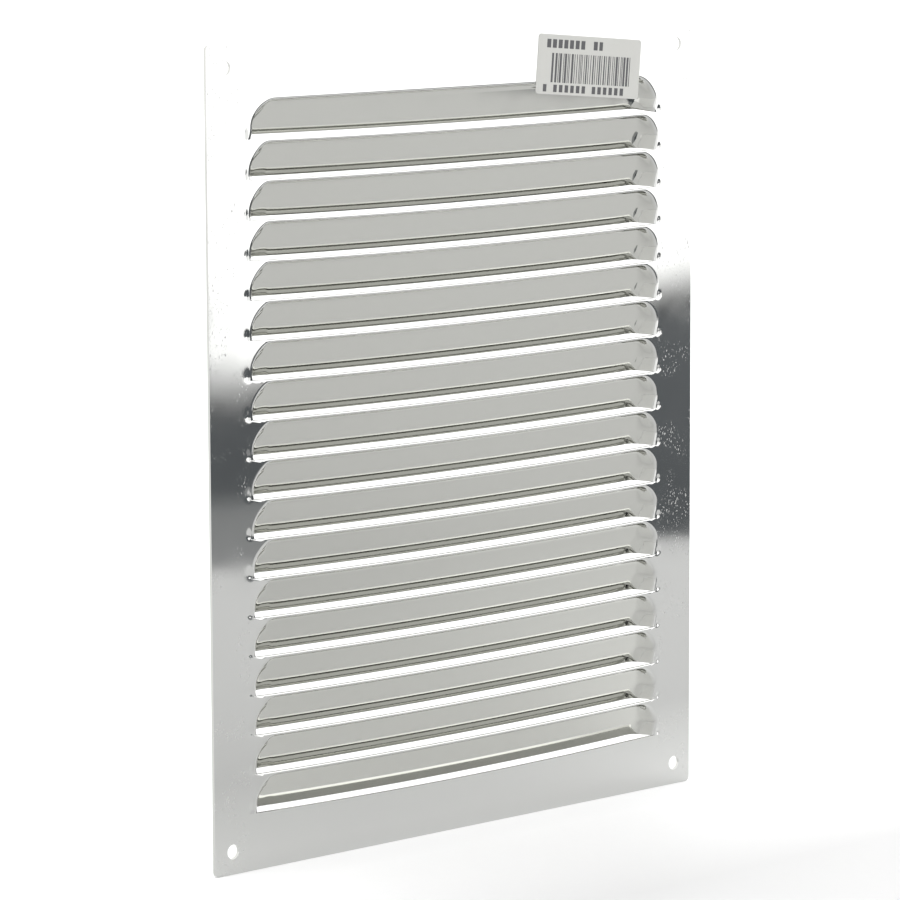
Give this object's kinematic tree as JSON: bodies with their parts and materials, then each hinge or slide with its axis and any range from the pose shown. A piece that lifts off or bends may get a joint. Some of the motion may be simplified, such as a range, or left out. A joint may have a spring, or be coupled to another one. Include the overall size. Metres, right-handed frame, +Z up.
{
  "type": "ventilation grille",
  "caption": "Flat rectangular louvred ventilation grille pressed from one aluminium sheet, with corner screw holes and a small paper label.",
  "frame": {"origin": "centre of the screw hole rectangle, on the back face that lies against the wall", "axes": "+Z up along the plate's height, +X to the right seen from the front, front faces -Y, louvres reach back towards +Y"},
  "size_m": [0.2, 0.0065, 0.25],
  "materials": {
    "plate_metal": "bright rolled sheet with fine scratches",
    "label_paper": "matt white paper with grey and black print"
  },
  "bodies": {
    "root": {"louvre_plate": "plate_metal", "label": "label_paper"}
  },
  "joints": []
}
